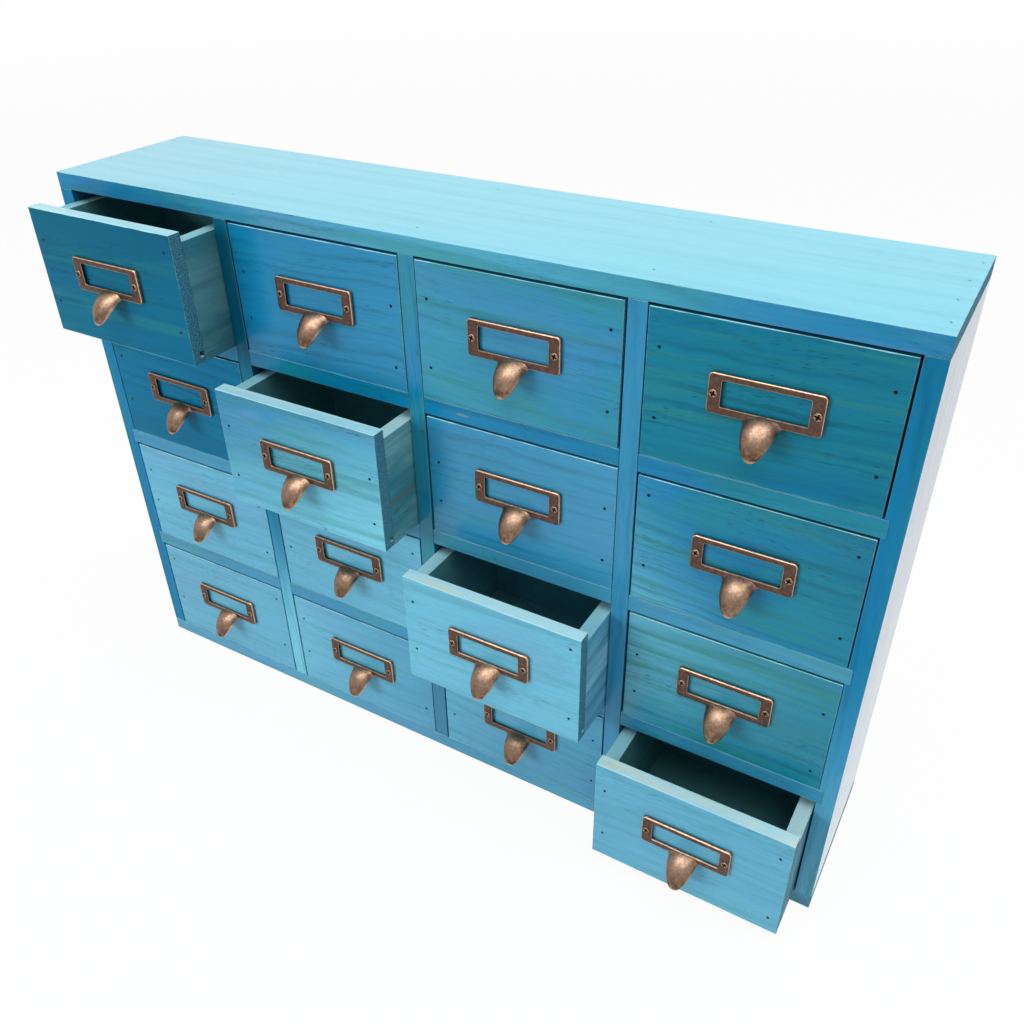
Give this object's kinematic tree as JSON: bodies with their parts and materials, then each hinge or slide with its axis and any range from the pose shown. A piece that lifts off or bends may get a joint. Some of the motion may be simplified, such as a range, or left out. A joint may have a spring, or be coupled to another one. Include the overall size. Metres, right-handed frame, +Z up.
{
  "type": "spice drawer cabinet",
  "caption": "Tabletop cabinet of small sliding drawers in a grid, each with a cast label-holder pull with a hooked tongue, in a nailed carcass of thin stained boards.",
  "frame": {"origin": "middle of the underside of the carcass, where it rests on a table", "axes": "+X to the right seen from the front, +Y to the back (drawers slide out towards -Y), +Z up"},
  "size_m": [0.5, 0.1484, 0.35],
  "materials": {
    "stained_wood": "blue-teal stain under a thin satin lacquer, grain showing",
    "copper_casting": "antique copper, dark brown in the hollows and bright on the worn edges",
    "brad_steel": "dull, stained over at the heads"
  },
  "bodies": {
    "cabinet": {"top_panel": "stained_wood", "bottom_panel": "stained_wood", "left_side": "stained_wood", "right_side": "stained_wood", "divider_1": "stained_wood", "divider_2": "stained_wood", "divider_3": "stained_wood", "shelf_1": "stained_wood", "shelf_2": "stained_wood", "shelf_3": "stained_wood", "back_panel": "stained_wood", "carcass_brads": "brad_steel"},
    "drawer_11": {"drawer_11_front": "stained_wood", "drawer_11_box": "stained_wood", "drawer_11_pull": "copper_casting"},
    "drawer_12": {"drawer_12_front": "stained_wood", "drawer_12_box": "stained_wood", "drawer_12_pull": "copper_casting"},
    "drawer_13": {"drawer_13_front": "stained_wood", "drawer_13_box": "stained_wood", "drawer_13_pull": "copper_casting"},
    "drawer_14": {"drawer_14_front": "stained_wood", "drawer_14_box": "stained_wood", "drawer_14_pull": "copper_casting"},
    "drawer_21": {"drawer_21_front": "stained_wood", "drawer_21_box": "stained_wood", "drawer_21_pull": "copper_casting"},
    "drawer_22": {"drawer_22_front": "stained_wood", "drawer_22_box": "stained_wood", "drawer_22_pull": "copper_casting"},
    "drawer_23": {"drawer_23_front": "stained_wood", "drawer_23_box": "stained_wood", "drawer_23_pull": "copper_casting"},
    "drawer_24": {"drawer_24_front": "stained_wood", "drawer_24_box": "stained_wood", "drawer_24_pull": "copper_casting"},
    "drawer_31": {"drawer_31_front": "stained_wood", "drawer_31_box": "stained_wood", "drawer_31_pull": "copper_casting"},
    "drawer_32": {"drawer_32_front": "stained_wood", "drawer_32_box": "stained_wood", "drawer_32_pull": "copper_casting"},
    "drawer_33": {"drawer_33_front": "stained_wood", "drawer_33_box": "stained_wood", "drawer_33_pull": "copper_casting"},
    "drawer_34": {"drawer_34_front": "stained_wood", "drawer_34_box": "stained_wood", "drawer_34_pull": "copper_casting"},
    "drawer_41": {"drawer_41_front": "stained_wood", "drawer_41_box": "stained_wood", "drawer_41_pull": "copper_casting"},
    "drawer_42": {"drawer_42_front": "stained_wood", "drawer_42_box": "stained_wood", "drawer_42_pull": "copper_casting"},
    "drawer_43": {"drawer_43_front": "stained_wood", "drawer_43_box": "stained_wood", "drawer_43_pull": "copper_casting"},
    "drawer_44": {"drawer_44_front": "stained_wood", "drawer_44_box": "stained_wood", "drawer_44_pull": "copper_casting"}
  },
  "joints": [
    {"name": "drawer_11_slide", "type": "slide", "parent": "cabinet", "child": "drawer_11", "axis": [0, -1, 0], "range_m": [-0.031, 0.049]},
    {"name": "drawer_12_slide", "type": "slide", "parent": "cabinet", "child": "drawer_12", "axis": [0, -1, 0], "range_m": [0, 0.08]},
    {"name": "drawer_13_slide", "type": "slide", "parent": "cabinet", "child": "drawer_13", "axis": [0, -1, 0], "range_m": [0, 0.08]},
    {"name": "drawer_14_slide", "type": "slide", "parent": "cabinet", "child": "drawer_14", "axis": [0, -1, 0], "range_m": [0, 0.08]},
    {"name": "drawer_21_slide", "type": "slide", "parent": "cabinet", "child": "drawer_21", "axis": [0, -1, 0], "range_m": [0, 0.08]},
    {"name": "drawer_22_slide", "type": "slide", "parent": "cabinet", "child": "drawer_22", "axis": [0, -1, 0], "range_m": [-0.031, 0.049]},
    {"name": "drawer_23_slide", "type": "slide", "parent": "cabinet", "child": "drawer_23", "axis": [0, -1, 0], "range_m": [0, 0.08]},
    {"name": "drawer_24_slide", "type": "slide", "parent": "cabinet", "child": "drawer_24", "axis": [0, -1, 0], "range_m": [0, 0.08]},
    {"name": "drawer_31_slide", "type": "slide", "parent": "cabinet", "child": "drawer_31", "axis": [0, -1, 0], "range_m": [0, 0.08]},
    {"name": "drawer_32_slide", "type": "slide", "parent": "cabinet", "child": "drawer_32", "axis": [0, -1, 0], "range_m": [0, 0.08]},
    {"name": "drawer_33_slide", "type": "slide", "parent": "cabinet", "child": "drawer_33", "axis": [0, -1, 0], "range_m": [-0.033, 0.047]},
    {"name": "drawer_34_slide", "type": "slide", "parent": "cabinet", "child": "drawer_34", "axis": [0, -1, 0], "range_m": [0, 0.08]},
    {"name": "drawer_41_slide", "type": "slide", "parent": "cabinet", "child": "drawer_41", "axis": [0, -1, 0], "range_m": [0, 0.08]},
    {"name": "drawer_42_slide", "type": "slide", "parent": "cabinet", "child": "drawer_42", "axis": [0, -1, 0], "range_m": [0, 0.08]},
    {"name": "drawer_43_slide", "type": "slide", "parent": "cabinet", "child": "drawer_43", "axis": [0, -1, 0], "range_m": [0, 0.08]},
    {"name": "drawer_44_slide", "type": "slide", "parent": "cabinet", "child": "drawer_44", "axis": [0, -1, 0], "range_m": [-0.032, 0.048]}
  ]
}
